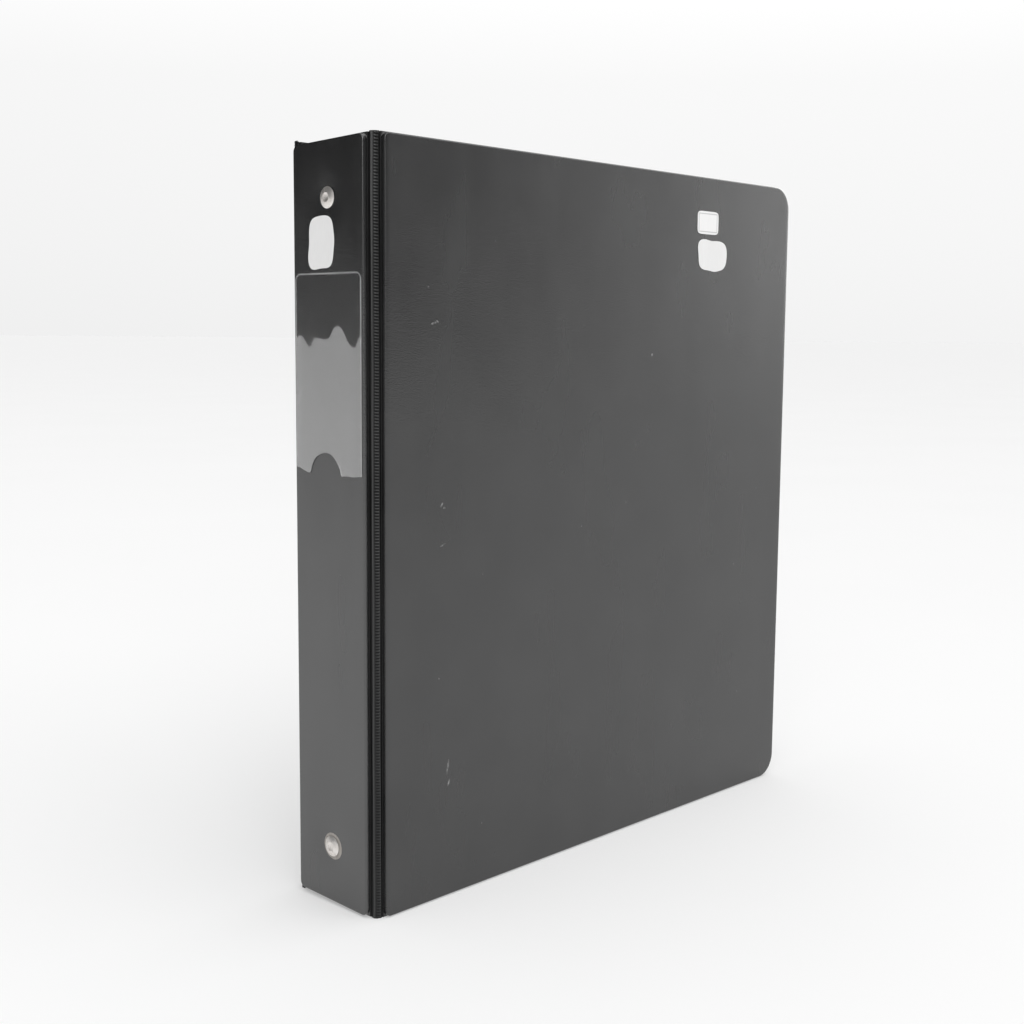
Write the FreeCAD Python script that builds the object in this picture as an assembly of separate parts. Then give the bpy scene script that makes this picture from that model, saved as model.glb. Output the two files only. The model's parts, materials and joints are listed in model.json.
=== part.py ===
"""Three-ring binder, standing closed on its bottom edges.

Black vinyl is welded over three greyboard panels: a spine and two covers.
Between the spine and each cover runs a narrow welded hinge strip that folds
along both of its long edges.  A nickel ring mechanism is riveted to the inside
of the spine: an arched rail, two blades that rock in it, three pairs of half
rings, and a trigger lever at each end.

Frame, in millimetres: +Z is up along the spine, +X runs from the spine to the
fore edges, and the front cover is on the -Y side.  The origin is at the middle
of the footprint, on the surface the binder stands on.
"""
import FreeCAD, Part
import math
import os

from FreeCAD import Vector

# ---------------------------------------------------------------- panels
cover_height = 292.0      # bottom edge to top edge of a cover
cover_width = 260.2       # hinge side to fore edge of a cover
spine_width = 40.0        # across the flat of the spine panel
spine_short = 1.2         # how far the spine stops short of the covers, at each end
board_thickness = 2.1     # greyboard
vinyl = 0.4               # one sheet of vinyl
edge_weld = 1.0           # flat welded rim outside the board
fore_corner_radius = 11.5
hinge_corner_radius = 3.0   # of the raised panel, on its hinge side
spine_corner_radius = 3.5
drape_radius = 0.9        # where the vinyl turns over the edge of the board

# ---------------------------------------------------------------- hinge strips
hinge_step_in = 5.8       # spine's outer face to the cover's hinge side, along X
hinge_step_out = 5.5      # spine's side to the cover's outer face, along Y
fold_gap = 0.5            # edge of a panel to the line it folds on
strip_gap = 0.2           # fold line to the edge of the strip
strip_rise = 1.0          # how far the middle of the strip bulges outward

# ---------------------------------------------------------------- label pocket, inner pockets, labels
label_pocket_height = 75.0
label_pocket_below_rivet = 27.1   # middle of the top rivet to the top of the pocket
label_pocket_margin = 0.9   # side of the pocket to the side of the spine
label_film = 0.3
label_room = 0.25         # depth left for a card
label_weld = 1.6
label_corner_radius = 3.0
thumb_notch_width = 18.0
thumb_notch_height = 7.8
thumb_notch_off_centre = 1.6

inner_pocket_height = 148.0
inner_pocket_from_fore_edge = 8.0
inner_pocket_from_hinge_side = 44.2
inner_pocket_bottom = 4.0
inner_pocket_room = 0.3
inner_pocket_weld = 2.5

label_paper = 0.12
spine_label_size = (14.4, 19.4)     # along Y, along Z
spine_label_place = (3.6, 16.3)     # Y, and down from the middle of the top rivet
spine_label_radius = 4.5
price_label_size = (15.8, 10.2)     # along X, along Z
price_label_place = (66.4, 20.4)    # in from the fore edge, down from the top edge
price_label_radius = 1.6
cover_label_size = (21.2, 13.9)
cover_label_place = (62.6, 34.9)
cover_label_radius = 5.2

# ---------------------------------------------------------------- ring mechanism
mechanism_off_middle = 0.6  # middle of the mechanism above the middle of the covers
rivet_spacing = 246.2
ring_pitch = 107.95
ring_bore = 25.4
wire_diameter = 3.2
ring_bend_radius = 2.0      # where a half ring turns down through the rail
ring_tip_gap = 0.2          # between the two tips of a closed ring
ring_leg_inset = 2.9        # blade's rocking edge to the leg of a half ring
tip_pin_length = 0.8
tip_pin_radius = 0.8
tip_pin_end_radius = 0.4
tip_pin_clearance = 0.15

rail_width = 21.0
rail_height = 7.6
rail_wall_height = 4.2
rail_sheet = 0.8
rail_past_rivet = 11.5      # rivet to the end of the rail
rail_bead = 0.45            # crimped bead that carries the blades' outer edges
rail_bead_height = 0.6
rail_ear_width = 1.6        # shoulder left at each side where the crown is cut back

blade_thickness = 1.0
blade_pivot_height = 2.8    # rocking edge above the spine's inner face
blade_closed_angle = 6.0    # blades dip this much toward the spine when closed
blade_half_gap = 0.3        # each blade's inner edge to the middle
blade_edge_clearance = 0.15
slot_clearance = 0.45       # round a half ring, in the rail

rivet_shank_diameter = 4.0
rivet_head_diameter = 8.0
rivet_head_proud = 1.0
rivet_dish_diameter = 4.4
rivet_dish_depth = 0.5
rivet_inner_diameter = 6.0
rivet_inner_height = 0.8
rivet_inner_round = 0.48
rivet_blade_clearance = 0.9

trigger_pin_diameter = 2.0
trigger_pin_height = 3.2    # above the spine's inner face
trigger_pin_from_end = 2.5  # end of the rail to the pin
trigger_bore_clearance = 0.06
trigger_hub_radius = 1.8
trigger_hub_side_gap = 0.3
trigger_to_blade = 0.6
trigger_tongue_reach = 5.4
trigger_tongue_width = 3.0
trigger_tongue_low = 0.25   # above the spine's inner face
trigger_sheet = 0.75
trigger_heel = 0.9          # tongue's heel, outward of the pin
trigger_tab_length = 13.0
trigger_tab_width = 14.0
trigger_tab_angle = 50.0    # up from the spine
trigger_tab_sheet = 1.2
trigger_tab_corner = 4.0

# ---------------------------------------------------------------- worked-out places
panel = board_thickness + 2 * vinyl
depth = hinge_step_in + cover_width
spine_x = rivet_head_proud - (depth + rivet_head_proud) / 2   # spine's outer face
inner_x = spine_x + panel                                     # spine's inner face
cover_x = spine_x + hinge_step_in
fore_x = spine_x + depth
spine_half = spine_width / 2
cover_outer_y = spine_half + hinge_step_out
cover_inner_y = cover_outer_y - panel
spine_low = spine_short
spine_high = cover_height - spine_short
mechanism_height = cover_height / 2 + mechanism_off_middle

wire_radius = wire_diameter / 2
ring_radius = ring_bore / 2 + wire_radius
ring_centre_height = rail_height + ring_bore / 2
rail_half_length = rivet_spacing / 2 + rail_past_rivet
pivot_y = rail_width / 2 - rail_sheet - blade_edge_clearance - blade_thickness / 2
leg_y = pivot_y - ring_leg_inset
trigger_pin_z = rail_half_length - trigger_pin_from_end
blade_half_length = trigger_pin_z - trigger_hub_radius - trigger_to_blade
crown_half_length = blade_half_length + trigger_to_blade / 2
ring_heights = [mechanism_height + k * ring_pitch for k in (-1, 0, 1)]
rivet_heights = [mechanism_height + k * rivet_spacing / 2 for k in (-1, 1)]
label_pocket_top = rivet_heights[1] - label_pocket_below_rivet

# fold lines of the front hinge, as points in the XY plane
fold_spine = Vector(inner_x - vinyl, -(spine_half + fold_gap), 0)
fold_cover = Vector(cover_x - fold_gap, -(cover_inner_y + vinyl), 0)


# ---------------------------------------------------------------- shape helpers
def rounded_face(place, low, high, radii):
    """Face of a rectangle from low to high with its own radius at each corner.

    place(a, b) gives the point in space for the flat coordinates a and b.
    radii are in the order low-low, high-low, high-high, low-high.
    """
    (a0, b0), (a1, b1) = low, high
    corners = [(a0, b0), (a1, b0), (a1, b1), (a0, b1)]
    along = [(1, 0), (0, 1), (-1, 0), (0, -1)]    # way the outline leaves each corner
    before, after = [], []
    for i, (a, b) in enumerate(corners):
        coming, going = along[i - 1], along[i]
        before.append((a - coming[0] * radii[i], b - coming[1] * radii[i]))
        after.append((a + going[0] * radii[i], b + going[1] * radii[i]))
    edges = []
    for i, (a, b) in enumerate(corners):
        if radii[i] > 0:
            centre = (before[i][0] + after[i][0] - a, before[i][1] + after[i][1] - b)
            pull = radii[i] / math.hypot(a - centre[0], b - centre[1])
            middle = (centre[0] + (a - centre[0]) * pull, centre[1] + (b - centre[1]) * pull)
            edges.append(Part.Arc(place(*before[i]), place(*middle), place(*after[i])).toShape())
        following = before[(i + 1) % 4]
        edges.append(Part.LineSegment(place(*after[i]), place(*following)).toShape())
    return Part.Face(Part.Wire(edges))


def outline_face(points):
    """Face inside a closed outline of straight edges."""
    return Part.Face(Part.makePolygon(points + [points[0]]))


def box(low, high):
    """Box between two corners given as (x, y, z)."""
    return Part.makeBox(*[high[i] - low[i] for i in range(3)], Vector(*low))


def mirrored(shape):
    """The same piece on the other side of the spine's middle plane."""
    return shape.mirror(Vector(0, 0, 0), Vector(0, 1, 0))


def softened(block, wanted, radius):
    """Block with its edges that lie in one plane rounded over.

    wanted(edge) picks the edges.
    """
    return block.makeFillet(radius, [edge for edge in block.Edges if wanted(edge)])


# ---------------------------------------------------------------- panels
def panel_pieces(place, out, low, high, radii, weld):
    """Board, outer vinyl and inner vinyl of one panel.

    place(a, b) is a point on the panel's inner face and out is the unit
    vector to its outer face.  weld gives the width of the flat rim on the
    four sides: low a, low b, high a, high b.  radii are those of the raised
    panel; a corner of the rim is square where a side has no rim.
    """
    (a0, b0), (a1, b1) = low, high
    rim_radii = []
    for radius, sides in zip(radii, [(0, 1), (2, 1), (2, 3), (0, 3)]):
        both = weld[sides[0]] > 0 and weld[sides[1]] > 0
        rim_radii.append(radius + edge_weld if both else 0)
    raised_low = (a0 + weld[0], b0 + weld[1])
    raised_high = (a1 - weld[2], b1 - weld[3])
    board_low = (raised_low[0] + vinyl, raised_low[1] + vinyl)
    board_high = (raised_high[0] - vinyl, raised_high[1] - vinyl)

    def lifted(level):
        return lambda a, b: place(a, b) + out * level

    def top_edges(level):
        plane = (place(a0, b0) + out * level).dot(out)
        return lambda edge: all(abs(v.Point.dot(out) - plane) < 1e-6 for v in edge.Vertexes)

    rim = rounded_face(lifted(vinyl), (a0, b0), (a1, b1), rim_radii).extrude(out * vinyl)
    raised = rounded_face(lifted(vinyl), raised_low, raised_high, radii)
    raised = raised.extrude(out * (panel - vinyl))
    raised = softened(raised, top_edges(panel), drape_radius)
    board = rounded_face(lifted(vinyl), board_low, board_high, [r - vinyl for r in radii])
    board = board.extrude(out * board_thickness)
    board = softened(board, top_edges(vinyl + board_thickness), drape_radius - vinyl)
    outer = rim.fuse(raised).cut(board).removeSplitter()
    inner = rounded_face(place, (a0, b0), (a1, b1), rim_radii).extrude(out * vinyl)
    return board, outer, inner


def spine_panel():
    """Spine panel, with its two rivet holes."""
    pieces = panel_pieces(
        lambda a, b: Vector(inner_x, a, b), Vector(-1, 0, 0),
        (-spine_half, spine_low), (spine_half, spine_high),
        [spine_corner_radius] * 4, (0, edge_weld, 0, edge_weld))
    holes = [rivet_shank(z) for z in rivet_heights]
    return [piece.cut(holes) for piece in pieces]


def cover_panel():
    """Front cover panel."""
    radii = [hinge_corner_radius, fore_corner_radius - edge_weld,
             fore_corner_radius - edge_weld, hinge_corner_radius]
    return panel_pieces(
        lambda a, b: Vector(a, -cover_inner_y, b), Vector(0, -1, 0),
        (cover_x, 0), (fore_x, cover_height), radii, (0, edge_weld, edge_weld, edge_weld))


def hinge_plies():
    """Outer and inner vinyl of the front hinge strip.

    Both are bands of the same arch, which stands on the line between the two
    folds and bulges toward the outer corner of the binder.
    """
    span = fold_cover - fold_spine
    along = Vector(span).normalize()
    outward = Vector(along.y, -along.x, 0)
    half_chord = span.Length / 2 - strip_gap
    radius = (half_chord ** 2 + strip_rise ** 2) / (2 * strip_rise)
    centre = fold_spine + span / 2 + outward * (strip_rise - radius)
    reach = math.asin(half_chord / radius)

    def on_arch(r, angle):
        return centre + along * (r * math.sin(angle)) + outward * (r * math.cos(angle))

    def band(r0, r1):
        edges = [
            Part.Arc(on_arch(r0, -reach), on_arch(r0, 0), on_arch(r0, reach)).toShape(),
            Part.LineSegment(on_arch(r0, reach), on_arch(r1, reach)).toShape(),
            Part.Arc(on_arch(r1, reach), on_arch(r1, 0), on_arch(r1, -reach)).toShape(),
            Part.LineSegment(on_arch(r1, -reach), on_arch(r0, -reach)).toShape(),
        ]
        return Part.Face(Part.Wire(edges)).extrude(Vector(0, 0, cover_height))

    return band(radius, radius + vinyl), band(radius - vinyl, radius)


# ---------------------------------------------------------------- pockets and labels
def spine_label_pocket():
    """Clear film welded to the spine on three sides and open at the bottom."""
    half = spine_half - label_pocket_margin
    low, high = label_pocket_top - label_pocket_height, label_pocket_top
    total = label_film + label_room
    radii = [0, 0, label_corner_radius, label_corner_radius]
    film = rounded_face(lambda a, b: Vector(spine_x, a, b), (-half, low), (half, high), radii)
    film = film.extrude(Vector(-total, 0, 0))
    room = box((spine_x - label_room, -half + label_weld, low),
               (spine_x, half - label_weld, high - label_weld))
    # thumb notch: a segment of a circle cut up into the bottom edge
    notch_half = thumb_notch_width / 2
    radius = (notch_half ** 2 + thumb_notch_height ** 2) / (2 * thumb_notch_height)
    centre = Vector(spine_x - total, thumb_notch_off_centre, low + thumb_notch_height - radius)
    notch = Part.makeCylinder(radius, total, centre, Vector(1, 0, 0))
    return film.cut([room, notch])


def inner_pocket():
    """Pocket inside the front cover: welded on three sides and open at the top."""
    a1 = fore_x - inner_pocket_from_fore_edge
    a0 = cover_x + inner_pocket_from_hinge_side
    b0, b1 = inner_pocket_bottom, inner_pocket_bottom + inner_pocket_height
    face_y = -cover_inner_y
    weld = inner_pocket_weld
    block = box((a0, face_y, b0), (a1, face_y + inner_pocket_room + vinyl, b1))
    room = box((a0 + weld, face_y, b0 + weld), (a1 - weld, face_y + inner_pocket_room, b1))
    return block.cut(room)


def paper_label(place, out, size, radius):
    """Thin paper label with rounded corners; place(0, 0) is its centre."""
    low, high = (-size[0] / 2, -size[1] / 2), (size[0] / 2, size[1] / 2)
    return rounded_face(place, low, high, [radius] * 4).extrude(out * label_paper)


def on_spine(centre):
    """Place function round a label's centre on the spine's outer face."""
    y, down = centre
    return lambda a, b: Vector(spine_x, y + a, rivet_heights[1] - down + b)


def on_front(centre):
    """Place function round a label's centre on the front cover's outer face."""
    back, down = centre
    return lambda a, b: Vector(fore_x - back + a, -cover_outer_y, cover_height - down + b)


# ---------------------------------------------------------------- rivets
def rivet_shank(z):
    """Shank of a rivet, from the spine's outer face to the rail's crown."""
    length = panel + rail_height - rail_seat_drop()
    return Part.makeCylinder(rivet_shank_diameter / 2, length, Vector(spine_x, 0, z), Vector(1, 0, 0))


def rivet(z):
    """Domed and dished head outside, shank, and peened head on the rail."""
    head_radius = rivet_head_diameter / 2
    sagitta = rivet_head_proud
    dome_radius = (head_radius ** 2 + sagitta ** 2) / (2 * sagitta)
    dome = Part.makeSphere(dome_radius, Vector(spine_x - sagitta + dome_radius, 0, z))
    dome = dome.common(box((spine_x - sagitta, -head_radius, z - head_radius),
                           (spine_x, head_radius, z + head_radius)))
    dish_half = rivet_dish_diameter / 2
    dish_radius = (dish_half ** 2 + rivet_dish_depth ** 2) / (2 * rivet_dish_depth)
    dish = Part.makeSphere(dish_radius, Vector(spine_x - sagitta + rivet_dish_depth - dish_radius, 0, z))
    shank = rivet_shank(z)
    seat_x = inner_x + rail_height - rail_seat_drop()
    peened = Part.makeCylinder(rivet_inner_diameter / 2, rivet_inner_height,
                               Vector(seat_x, 0, z), Vector(1, 0, 0))
    far_edge = [e for e in peened.Edges
                if all(abs(v.X - seat_x - rivet_inner_height) < 1e-6 for v in e.Vertexes)]
    peened = peened.makeFillet(rivet_inner_round, far_edge[:1])
    return dome.cut(dish).fuse([shank, peened]).removeSplitter()


# ---------------------------------------------------------------- rail
def crown_radius(half_width, rise):
    """Radius of the arch over a given half width and rise."""
    return (half_width ** 2 + rise ** 2) / (2 * rise)


def rail_seat_drop():
    """How far the rail's crown is pressed flat under a rivet's inner head."""
    radius = crown_radius(rail_width / 2, rail_height - rail_wall_height)
    return radius - math.sqrt(radius ** 2 - (rivet_inner_diameter / 2) ** 2)


def section_point(y, h, z=0.0):
    """Point from the place across the rail and the height above the spine."""
    return Vector(inner_x + h, y, z)


def arched_face(half_width, wall, top, z):
    """Cross-section with upright sides and an arched top."""
    edges = [
        Part.LineSegment(section_point(half_width, 0, z), section_point(half_width, wall, z)).toShape(),
        Part.Arc(section_point(half_width, wall, z), section_point(0, top, z),
                 section_point(-half_width, wall, z)).toShape(),
        Part.LineSegment(section_point(-half_width, wall, z), section_point(-half_width, 0, z)).toShape(),
        Part.LineSegment(section_point(-half_width, 0, z), section_point(half_width, 0, z)).toShape(),
    ]
    return Part.Face(Part.Wire(edges))


def rail():
    """Arched rail with its slots, crimped beads, rivet seats and pin holes."""
    low, length = mechanism_height - rail_half_length, 2 * rail_half_length
    half, run = rail_width / 2, Vector(0, 0, length)
    inside = half - rail_sheet
    # the inner arch keeps the sheet's thickness where it meets the side walls
    outer_radius = crown_radius(half, rail_height - rail_wall_height)
    inner_top = rail_height - rail_sheet
    drop = math.sqrt((outer_radius - rail_sheet) ** 2 - inside ** 2)
    inner_wall = rail_height - outer_radius + drop
    shell = arched_face(half, rail_wall_height, rail_height, low).extrude(run)
    shell = shell.cut(arched_face(inside, inner_wall, inner_top, low).extrude(run))
    bead_top = blade_pivot_height - blade_thickness / 2 - blade_edge_clearance
    for side in (-1, 1):
        y0, y1 = sorted((side * inside, side * (inside - rail_bead)))
        bead = box((inner_x + bead_top - rail_bead_height, y0, low),
                   (inner_x + bead_top, y1, low + length))
        shell = shell.fuse(bead)
    cuts = []
    above = inner_x + blade_pivot_height + blade_thickness
    slot_half = wire_radius + slot_clearance
    slot_out = inside - slot_clearance
    slot_in = leg_y - wire_radius - slot_clearance
    for z in ring_heights:
        for side in (-1, 1):
            y0, y1 = sorted((side * slot_in, side * slot_out))
            cuts.append(box((above, y0, z - slot_half), (inner_x + rail_height, y1, z + slot_half)))
    # the crown is cut back at both ends to make room for the triggers
    ear = half - rail_ear_width
    for side in (-1, 1):
        z0, z1 = sorted((side * crown_half_length, side * rail_half_length))
        cuts.append(box((inner_x, -ear, mechanism_height + z0),
                        (inner_x + rail_height, ear, mechanism_height + z1)))
        cuts.append(trigger_pin(side))
    seat = inner_x + rail_height - rail_seat_drop()
    for z in rivet_heights:
        cuts.append(rivet_shank(z))
        cuts.append(Part.makeCylinder(rivet_inner_diameter / 2, rail_seat_drop(),
                                      Vector(seat, 0, z), Vector(1, 0, 0)))
    return shell.cut(cuts).removeSplitter()


# ---------------------------------------------------------------- blades and rings
def blade():
    """Back blade: a flat strip with a rolled rocking edge.

    It dips toward the spine when closed, is holed for the ring legs and is
    notched round the rivets.
    """
    dip = math.radians(blade_closed_angle)
    inward = Vector(-math.sin(dip), -math.cos(dip), 0)    # along the blade, to the middle
    upward = Vector(math.cos(dip), -math.sin(dip), 0)     # out of its upper face
    reach = (pivot_y - blade_half_gap) / math.cos(dip)
    low = mechanism_height - blade_half_length
    pivot = section_point(pivot_y, blade_pivot_height, low)
    half = upward * (blade_thickness / 2)
    run = Vector(0, 0, 2 * blade_half_length)
    strip = outline_face([pivot + half, pivot - half, pivot + inward * reach - half,
                          pivot + inward * reach + half]).extrude(run)
    rolled = Part.makeCylinder(blade_thickness / 2, run.Length, pivot, Vector(0, 0, 1))
    cuts = [ring_leg(z) for z in ring_heights]
    clear = rivet_shank_diameter / 2 + rivet_blade_clearance
    for z in rivet_heights:
        cuts.append(Part.makeCylinder(clear, rail_height, Vector(inner_x, 0, z), Vector(1, 0, 0)))
    return strip.fuse(rolled).cut(cuts).removeSplitter()


def leg_low():
    """Height of the foot of a ring leg, flush with the underside of the blade."""
    dip = math.radians(blade_closed_angle)
    middle = blade_pivot_height - ring_leg_inset * math.tan(dip)
    return middle - blade_thickness / 2 / math.cos(dip) - wire_radius * math.tan(dip)


def ring_leg(z):
    """Straight leg of a back half ring, where it passes the blade."""
    foot = section_point(leg_y, leg_low(), z)
    return Part.makeCylinder(wire_radius, blade_pivot_height + blade_thickness - leg_low(),
                             foot, Vector(1, 0, 0))


def half_ring(z):
    """Back half ring: a straight leg, a short bend, and the round loop to its tip."""
    bend = ring_bend_radius
    drop = math.sqrt((ring_radius + bend) ** 2 - (leg_y + bend) ** 2)
    bend_centre = (leg_y + bend, ring_centre_height - drop)
    share = ring_radius / (ring_radius + bend)
    join = (bend_centre[0] * share, ring_centre_height - drop * share)
    turn = math.atan2(drop, bend_centre[0])     # of the line from bend centre to ring centre
    halfway = math.pi - turn / 2
    bend_middle = (bend_centre[0] + bend * math.cos(halfway),
                   bend_centre[1] + bend * math.sin(halfway))
    tip_angle = math.pi / 2 - ring_tip_gap / 2 / ring_radius

    def on_loop(angle):
        return section_point(ring_radius * math.cos(angle),
                             ring_centre_height + ring_radius * math.sin(angle), z)

    foot = section_point(leg_y, leg_low(), z)
    knee = section_point(leg_y, bend_centre[1], z)
    path = Part.Wire([
        Part.LineSegment(foot, knee).toShape(),
        Part.Arc(knee, section_point(*bend_middle, z), section_point(*join, z)).toShape(),
        Part.Arc(section_point(*join, z), on_loop(0), on_loop(tip_angle)).toShape(),
    ])
    section = Part.Wire([Part.Circle(foot, Vector(1, 0, 0), wire_radius).toShape()])
    return path.makePipeShell([section], True, True)


def tip_cone(z, extra):
    """Small cone at the top of a ring, from the front tip into the back one."""
    base = section_point(-ring_tip_gap / 2, ring_centre_height + ring_radius, z)
    return Part.makeCone(tip_pin_radius + extra, tip_pin_end_radius + extra / 2,
                         tip_pin_length + extra, base, Vector(0, 1, 0))


def back_half_ring(z):
    """Back half ring, with the socket in its tip."""
    return half_ring(z).cut(tip_cone(z, ring_tip_gap + tip_pin_clearance))


def front_half_ring(z):
    """Front half ring, with the locating cone on its tip."""
    return mirrored(half_ring(z)).fuse(tip_cone(z, 0)).removeSplitter()


# ---------------------------------------------------------------- triggers
def trigger_pin(side):
    """Pin across the rail that a trigger turns on."""
    z = mechanism_height + side * trigger_pin_z
    return Part.makeCylinder(trigger_pin_diameter / 2, rail_width,
                             section_point(-rail_width / 2, trigger_pin_height, z), Vector(0, 1, 0))


def trigger(side):
    """Trigger lever: hub on the pin, tongue under the blades, and thumb tab."""
    z_pin = mechanism_height + side * trigger_pin_z

    def place(y, outward, h):
        return Vector(inner_x + h, y, z_pin + side * outward)

    half = rail_width / 2 - rail_ear_width - trigger_hub_side_gap
    hub = Part.makeCylinder(trigger_hub_radius, 2 * half, place(-half, 0, trigger_pin_height),
                            Vector(0, 1, 0))
    # tongue: reaches inward under the blades, and joins the hub from below
    y0 = -trigger_tongue_width / 2
    low, high = trigger_tongue_low, trigger_tongue_low + trigger_sheet
    tongue = outline_face([
        place(y0, trigger_heel, trigger_pin_height), place(y0, trigger_heel, low),
        place(y0, -trigger_tongue_reach, low), place(y0, -trigger_tongue_reach, high),
        place(y0, -trigger_hub_radius, high), place(y0, -trigger_heel, trigger_pin_height),
    ]).extrude(Vector(0, trigger_tongue_width, 0))
    # tab: a plate that leaves the hub at the tab's angle, with rounded outer corners
    rise = math.radians(trigger_tab_angle)
    out = place(0, math.cos(rise), math.sin(rise)) - place(0, 0, 0)
    normal = place(0, -math.sin(rise), math.cos(rise)) - place(0, 0, 0)
    root = place(0, 0, trigger_pin_height) - normal * (trigger_tab_sheet / 2)
    tab_half = trigger_tab_width / 2
    tab = rounded_face(lambda a, b: root + out * a + Vector(0, b, 0),
                       (0, -tab_half), (trigger_tab_length, tab_half),
                       [0, trigger_tab_corner, trigger_tab_corner, 0])
    tab = tab.extrude(normal * trigger_tab_sheet)
    bore = Part.makeCylinder(trigger_pin_diameter / 2 + trigger_bore_clearance, 2 * half,
                             place(-half, 0, trigger_pin_height), Vector(0, 1, 0))
    return hub.fuse([tongue, tab]).cut(bore).removeSplitter()


# ---------------------------------------------------------------- assembly
def build():
    """Every node of the binder, by name."""
    nodes = {}
    nodes["spine_board"], nodes["spine_outer_vinyl"], nodes["spine_inner_vinyl"] = spine_panel()
    board, outer, inner = cover_panel()
    hinge_outer, hinge_inner = hinge_plies()
    pocket = inner_pocket()
    for name, shape in [("board", board), ("outer_vinyl", outer), ("inner_vinyl", inner),
                        ("hinge_outer_vinyl", hinge_outer), ("hinge_inner_vinyl", hinge_inner),
                        ("inner_pocket", pocket)]:
        nodes["front_" + name] = shape
        nodes["back_" + name] = mirrored(shape)
    nodes["spine_label_pocket"] = spine_label_pocket()
    nodes["spine_label"] = paper_label(on_spine(spine_label_place), Vector(-1, 0, 0),
                                       spine_label_size, spine_label_radius)
    nodes["price_label"] = paper_label(on_front(price_label_place), Vector(0, -1, 0),
                                       price_label_size, price_label_radius)
    nodes["cover_label"] = paper_label(on_front(cover_label_place), Vector(0, -1, 0),
                                       cover_label_size, cover_label_radius)
    nodes["rail"] = rail()
    nodes["bottom_rivet"], nodes["top_rivet"] = [rivet(z) for z in rivet_heights]
    nodes["back_blade"] = blade()
    nodes["front_blade"] = mirrored(blade())
    for name, z in zip(("bottom", "middle", "top"), ring_heights):
        nodes["back_" + name + "_half_ring"] = back_half_ring(z)
        nodes["front_" + name + "_half_ring"] = front_half_ring(z)
    for name, side in (("bottom", -1), ("top", 1)):
        nodes[name + "_trigger_pin"] = trigger_pin(side)
        nodes[name + "_trigger"] = trigger(side)
    return nodes


os.makedirs("parts", exist_ok=True)
for node_name, node_shape in build().items():
    node_shape.exportStep("parts/" + node_name + ".step")
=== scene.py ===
"""Looks of a vinyl-covered ring binder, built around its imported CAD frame.

The CAD keeps the board, the inner sheets and the ring mechanism.  New surfaces
stand for what is soft: the outer vinyl draped over each panel, the lining of
the spine, the two ribbed hinge strips and the folds beside them, the clear
label pocket, the inner pockets and the paper labels.  Lengths are millimetres
until a mesh is made.
"""
import json
import math

import bpy
import numpy as np
from mathutils import Matrix, Vector


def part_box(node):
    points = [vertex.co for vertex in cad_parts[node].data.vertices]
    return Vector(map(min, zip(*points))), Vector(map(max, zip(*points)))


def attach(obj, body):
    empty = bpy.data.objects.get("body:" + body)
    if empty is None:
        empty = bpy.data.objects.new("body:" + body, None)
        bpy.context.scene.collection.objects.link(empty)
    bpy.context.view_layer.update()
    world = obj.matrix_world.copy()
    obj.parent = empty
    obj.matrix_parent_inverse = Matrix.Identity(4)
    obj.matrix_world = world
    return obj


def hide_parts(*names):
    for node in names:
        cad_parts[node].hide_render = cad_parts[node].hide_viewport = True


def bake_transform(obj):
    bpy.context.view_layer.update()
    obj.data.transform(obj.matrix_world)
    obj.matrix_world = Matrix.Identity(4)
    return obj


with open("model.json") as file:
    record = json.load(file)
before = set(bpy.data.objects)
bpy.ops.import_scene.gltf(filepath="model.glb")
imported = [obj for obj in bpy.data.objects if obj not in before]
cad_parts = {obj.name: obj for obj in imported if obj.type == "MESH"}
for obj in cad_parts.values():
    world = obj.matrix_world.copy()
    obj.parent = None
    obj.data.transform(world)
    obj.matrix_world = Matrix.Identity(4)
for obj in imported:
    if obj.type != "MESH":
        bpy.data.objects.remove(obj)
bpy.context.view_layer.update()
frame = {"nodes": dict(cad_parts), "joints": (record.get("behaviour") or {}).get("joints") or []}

MM = 0.001
SIDES = {"front": -1, "back": 1}


def node_box(node):
    """Lowest and highest corner of a CAD node, in millimetres."""
    return [np.array(corner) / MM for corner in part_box(node)]


def joint_place(name):
    """A joint's place in millimetres."""
    joint = next(j for j in frame["joints"] if j["name"] == name)
    return np.array(joint["pos_m"]) / MM


# ---------------------------------------------------------------- measures from the frame
spine_low, spine_high = node_box("spine_outer_vinyl")
spine_inner_low, spine_inner_high = node_box("spine_inner_vinyl")
cover_high = node_box("back_outer_vinyl")[1]
cover_inner_low, cover_inner_high = node_box("back_inner_vinyl")
pocket_low, pocket_high = node_box("spine_label_pocket")

SPINE_FACE = spine_low[0]                 # X of the spine's outer face
SPINE_BACK = spine_inner_high[0]          # X of its inner face
SPINE_HALF = spine_inner_high[1]          # half its width
COVER_FACE = cover_high[1]                # |Y| of a cover's outer face
COVER_BACK = cover_inner_low[1]           # |Y| of its inner face
HINGE_SIDE = cover_inner_low[0]           # X of a cover's hinge side
FORE_EDGE = cover_high[0]                 # X of a cover's fore edge
HEIGHT = cover_high[2]
PANEL = COVER_FACE - COVER_BACK           # thickness of a covered panel
SHEET = cover_inner_high[1] - COVER_BACK  # one sheet of vinyl

WELD = 0.5              # flat welded rim
DRAPE = 0.45            # radius where the vinyl turns over the board
FORE_RADIUS = 10.5      # of a cover's raised panel at its fore corners
HINGE_RADIUS = 2.2      # and at its hinge corners
SPINE_RADIUS = 2.4      # of the spine's raised panel
STRETCH = (0.9, -0.5)   # of the spine's sheets at each end, at the front hinge and at the back one


# ---------------------------------------------------------------- mesh helpers
def smoothstep(low, high, value):
    """0 below low, 1 above high and 3t^2 - 2t^3 between."""
    t = np.clip((value - low) / (high - low), 0, 1)
    return t * t * (3 - 2 * t)


def grid_quads(index):
    """Faces of a grid of vertex numbers, four corners each."""
    corners = [index[:-1, :-1], index[1:, :-1], index[1:, 1:], index[:-1, 1:]]
    return np.stack(corners, -1).reshape(-1, 4)


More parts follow.
